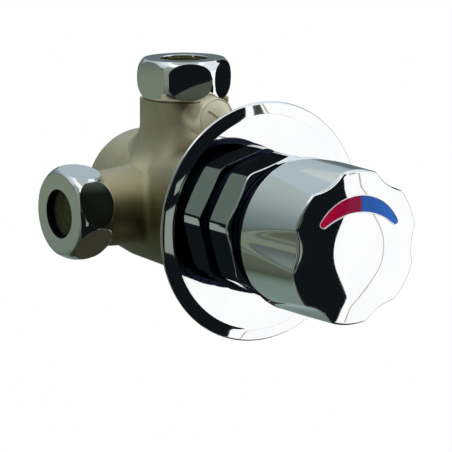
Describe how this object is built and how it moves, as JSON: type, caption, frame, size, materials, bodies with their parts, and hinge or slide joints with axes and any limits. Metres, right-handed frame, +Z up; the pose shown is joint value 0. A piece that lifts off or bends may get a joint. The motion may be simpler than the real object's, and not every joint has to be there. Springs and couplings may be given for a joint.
{
  "type": "timed shower mixer valve",
  "caption": "Concealed timed shower mixer valve: cast cross body with union nuts, flat wall flange, octagonal bonnet and fluted push-and-turn knob with a red and blue crescent.",
  "frame": {"origin": "on the knob's axis, in the plane of the wall that the flange's rim rests on", "axes": "+Y into the wall along the knob's axis, +Z up along the outlet, +X to the user's right"},
  "size_m": [0.1058, 0.1385, 0.0942],
  "materials": {
    "chrome": "polished",
    "cast_nickel": "satin nickel on a brass casting",
    "turned_brass": "turned",
    "spring_steel": "drawn wire",
    "rubber": "moulded",
    "fibre": "pressed fibre",
    "moulding": "moulded",
    "strainer_mesh": "punched and aged",
    "red_enamel": "glossy inlay",
    "blue_enamel": "glossy inlay"
  },
  "bodies": {
    "valve": {"valve_body": "cast_nickel", "wall_flange": "chrome", "flange_washer": "rubber", "bonnet": "chrome", "bonnet_o_ring": "rubber", "cartridge_housing": "moulding", "housing_o_ring_front": "rubber", "housing_o_ring_rear": "rubber", "housing_end_cap": "moulding", "timing_jet": "turned_brass", "rear_washer": "rubber", "rod_seal": "rubber", "collar_snap_ring": "spring_steel", "left_union_nut": "chrome", "right_union_nut": "chrome", "top_union_nut": "chrome", "left_washer": "fibre", "right_washer": "fibre", "top_washer": "fibre", "left_strainer": "strainer_mesh", "right_strainer": "strainer_mesh", "left_check_housing": "moulding", "right_check_housing": "moulding", "left_check_spring": "spring_steel", "right_check_spring": "spring_steel", "return_spring": "spring_steel"},
    "collar": {"temperature_collar": "moulding"},
    "button": {"knob": "chrome", "hot_marker": "red_enamel", "cold_marker": "blue_enamel", "push_rod": "turned_brass", "knob_clip": "spring_steel", "mixing_spool": "moulding", "piston_seal": "rubber", "spool_nut": "turned_brass"},
    "left_check": {"left_check_poppet": "moulding"},
    "right_check": {"right_check_poppet": "moulding"},
    "stop": {"stop_spindle": "turned_brass", "stop_disc": "turned_brass", "stop_o_ring": "rubber"}
  },
  "joints": [
    {"name": "temperature_turn", "type": "hinge", "parent": "valve", "child": "collar", "pos_m": [0, 0, 0], "axis": [0, 1, 0], "range_deg": [-69, 61]},
    {"name": "push", "type": "slide", "parent": "collar", "child": "button", "axis": [0, 1, 0], "range_m": [0, 0.006], "stiffness_N_per_m": 1500, "springref_m": -0.006, "deforming": ["return_spring"]},
    {"name": "left_check_lift", "type": "slide", "parent": "valve", "child": "left_check", "axis": [1, 0, 0], "range_m": [0, 0.003], "stiffness_N_per_m": 300, "springref_m": -0.003, "deforming": ["left_check_spring"]},
    {"name": "right_check_lift", "type": "slide", "parent": "valve", "child": "right_check", "axis": [-1, 0, 0], "range_m": [0, 0.003], "stiffness_N_per_m": 300, "springref_m": -0.003, "deforming": ["right_check_spring"]},
    {"name": "stop_turn", "type": "hinge", "parent": "valve", "child": "stop", "pos_m": [0, 0.0482, 0.0325], "axis": [0, 1, 0], "range_deg": [-40, 50]}
  ]
}
